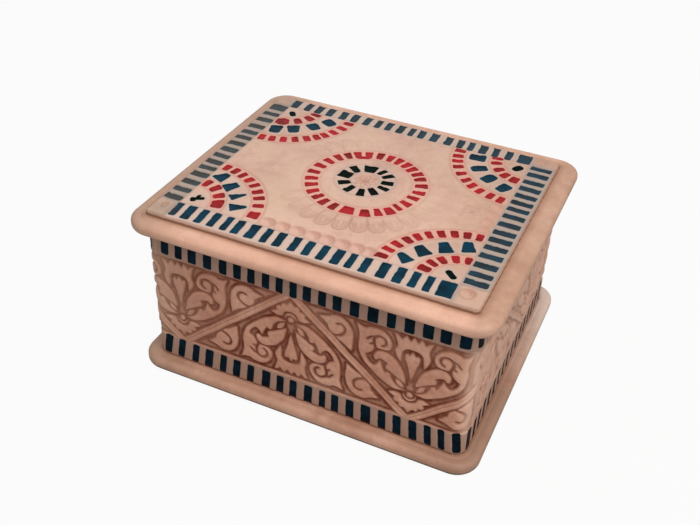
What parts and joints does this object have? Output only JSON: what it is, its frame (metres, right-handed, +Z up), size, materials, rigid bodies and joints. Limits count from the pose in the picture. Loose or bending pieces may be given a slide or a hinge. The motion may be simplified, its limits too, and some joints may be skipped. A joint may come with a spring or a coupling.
{
  "type": "lidded confectionery box",
  "caption": "Hinged rectangular keepsake and confectionery box in tooled leather over wood, with an overhanging lid and base.",
  "frame": {"origin": "centre of the plan, on the surface that the box stands on", "axes": "+Z up, the front wall faces -Y, +X along the front wall to the right"},
  "size_m": [0.1784, 0.1514, 0.0904],
  "materials": {
    "carcass_wood": "bare planed hardwood board",
    "cover_leather": "smooth natural leather, satin",
    "underlay_leather": "suede side out, matt",
    "side_leather": "tooled natural leather, dark stain in the recesses, dyed dashes",
    "panel_leather": "stamped natural leather, dyed cells, satin",
    "lining_cloth": "plain woven cotton, matt",
    "hinge_brass": "dull rolled brass",
    "screw_brass": "turned brass",
    "nail_steel": "plain cut steel"
  },
  "bodies": {
    "case": {"base_board": "carcass_wood", "base_cover": "cover_leather", "base_underlay": "underlay_leather", "base_nails": "nail_steel", "front_board": "carcass_wood", "back_board": "carcass_wood", "left_board": "carcass_wood", "right_board": "carcass_wood", "side_wrap": "side_leather", "floor_lining": "lining_cloth", "front_lining": "lining_cloth", "back_lining": "lining_cloth", "left_lining": "lining_cloth", "right_lining": "lining_cloth", "left_hinge_body_leaf": "hinge_brass", "left_hinge_pin": "hinge_brass", "right_hinge_body_leaf": "hinge_brass", "right_hinge_pin": "hinge_brass", "body_hinge_screws": "screw_brass"},
    "lid": {"lid_board": "carcass_wood", "lid_cover": "cover_leather", "lid_panel": "panel_leather", "lid_lining": "lining_cloth", "left_hinge_lid_leaf": "hinge_brass", "right_hinge_lid_leaf": "hinge_brass", "lid_hinge_screws": "screw_brass"}
  },
  "joints": [
    {"name": "lid_hinge", "type": "hinge", "parent": "case", "child": "lid", "pos_m": [0, 0.0711, 0.082], "axis": [-1, 0, 0], "range_deg": [0, 105]}
  ]
}
